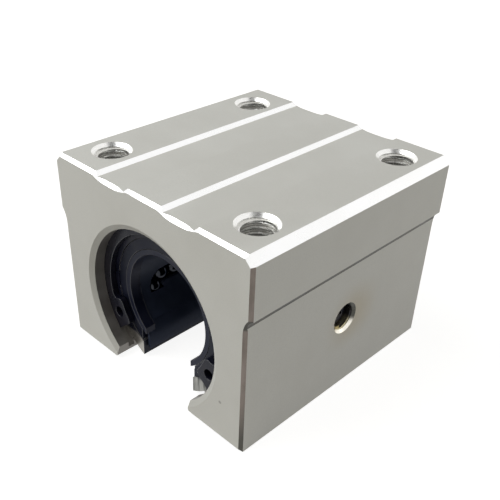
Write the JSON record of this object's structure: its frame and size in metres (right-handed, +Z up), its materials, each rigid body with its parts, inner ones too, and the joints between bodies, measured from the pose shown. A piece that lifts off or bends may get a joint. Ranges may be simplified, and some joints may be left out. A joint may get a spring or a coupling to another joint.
{
  "type": "linear bearing block",
  "caption": "Open aluminium pillow block with a ball bearing that slides on a rail-supported round shaft; tapped holes in its top take a carriage plate.",
  "frame": {"origin": "on the shaft axis at mid-length", "axes": "+Y along the shaft, +Z up through the plate face, +X towards the side with the set screw"},
  "size_m": [0.048, 0.05, 0.038],
  "materials": {
    "milled_aluminium": "satin anodised, fine blasted",
    "bearing_steel": "ground",
    "ball_steel": "polished",
    "black_steel": "black oxide",
    "black_resin": "moulded",
    "seal_rubber": "moulded rubber"
  },
  "bodies": {
    "root": {"housing": "milled_aluminium", "set_screw": "black_steel", "retaining_ring_front": "black_steel", "retaining_ring_rear": "black_steel", "bearing_sleeve": "bearing_steel", "ball_retainer": "black_resin", "end_ring_front": "black_resin", "end_ring_rear": "black_resin", "seal_front": "seal_rubber", "seal_rear": "seal_rubber", "ball_circuit_1": "ball_steel", "ball_circuit_2": "ball_steel", "ball_circuit_3": "ball_steel", "ball_circuit_4": "ball_steel"}
  },
  "joints": []
}
